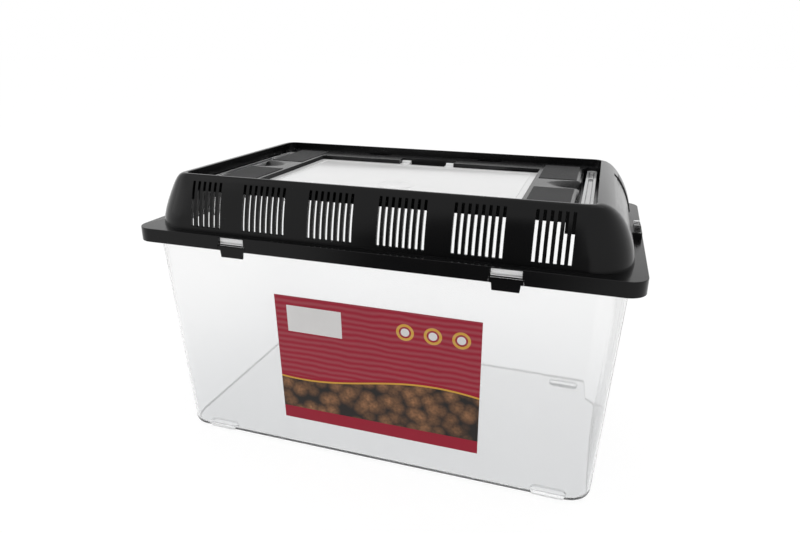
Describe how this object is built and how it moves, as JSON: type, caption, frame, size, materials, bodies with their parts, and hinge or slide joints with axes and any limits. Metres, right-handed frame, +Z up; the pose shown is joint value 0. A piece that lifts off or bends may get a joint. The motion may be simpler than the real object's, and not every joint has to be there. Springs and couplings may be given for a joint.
{
  "type": "plastic pet keeper",
  "caption": "Clear tapered tub with a vented domed lid, a top hatch, pull-up carry handles and swing-out latch tabs.",
  "frame": {"origin": "on the ground under the middle of the tub, at the underside of the feet", "axes": "+X along the tub's length towards its right-hand end seen from the labelled side, +Y towards the side with the hatch hinge, +Z up"},
  "size_m": [0.42, 0.2456, 0.2538],
  "materials": {
    "clear_tub": "clear moulded plastic, slightly milky, glossy",
    "label_film": null,
    "black_shell": "black moulded plastic, satin gloss",
    "black_deck": "black moulded plastic, satin, grained grip pads",
    "clear_hatch": "clear moulded plastic, slightly milky, glossy",
    "clear_handle": "clear moulded plastic, thick, glossy",
    "black_latch": "black moulded plastic, satin gloss"
  },
  "bodies": {
    "tub": {"tub": "clear_tub", "label": "label_film"},
    "lid": {"hood": "black_shell", "deck": "black_deck"},
    "hatch": {"hatch": "clear_hatch"},
    "handle_left": {"handle_left": "clear_handle"},
    "handle_right": {"handle_right": "clear_handle"},
    "latch_front_left": {"latch_front_left": "black_latch"},
    "latch_front_right": {"latch_front_right": "black_latch"},
    "latch_rear_left": {"latch_rear_left": "black_latch"},
    "latch_rear_right": {"latch_rear_right": "black_latch"},
    "latch_end_left": {"latch_end_left": "black_latch"},
    "latch_end_right": {"latch_end_right": "black_latch"}
  },
  "joints": [
    {"name": "lid_lift", "type": "slide", "parent": "tub", "child": "lid", "axis": [0, 0, 1], "range_m": [0, 0.06]},
    {"name": "hatch_hinge", "type": "hinge", "parent": "lid", "child": "hatch", "pos_m": [0, 0.075, 0.2431], "axis": [-1, 0, 0], "range_deg": [0, 105]},
    {"name": "handle_left_pull", "type": "slide", "parent": "lid", "child": "handle_left", "axis": [0, 0, 1], "range_m": [0, 0.0275]},
    {"name": "handle_right_pull", "type": "slide", "parent": "lid", "child": "handle_right", "axis": [0, 0, 1], "range_m": [0, 0.0275]},
    {"name": "latch_front_left_swing", "type": "hinge", "parent": "lid", "child": "latch_front_left", "pos_m": [-0.1136, -0.1216, 0.19905], "axis": [-1, 0, 0], "range_deg": [0, 75]},
    {"name": "latch_front_right_swing", "type": "hinge", "parent": "lid", "child": "latch_front_right", "pos_m": [0.1136, -0.1216, 0.19905], "axis": [-1, 0, 0], "range_deg": [0, 75]},
    {"name": "latch_rear_left_swing", "type": "hinge", "parent": "lid", "child": "latch_rear_left", "pos_m": [-0.1136, 0.1216, 0.19905], "axis": [1, 0, 0], "range_deg": [0, 75]},
    {"name": "latch_rear_right_swing", "type": "hinge", "parent": "lid", "child": "latch_rear_right", "pos_m": [0.1136, 0.1216, 0.19905], "axis": [1, 0, 0], "range_deg": [0, 75]},
    {"name": "latch_end_left_swing", "type": "hinge", "parent": "lid", "child": "latch_end_left", "pos_m": [-0.2088, 0, 0.19905], "axis": [0, 1, 0], "range_deg": [0, 75]},
    {"name": "latch_end_right_swing", "type": "hinge", "parent": "lid", "child": "latch_end_right", "pos_m": [0.2088, 0, 0.19905], "axis": [0, -1, 0], "range_deg": [0, 75]}
  ]
}
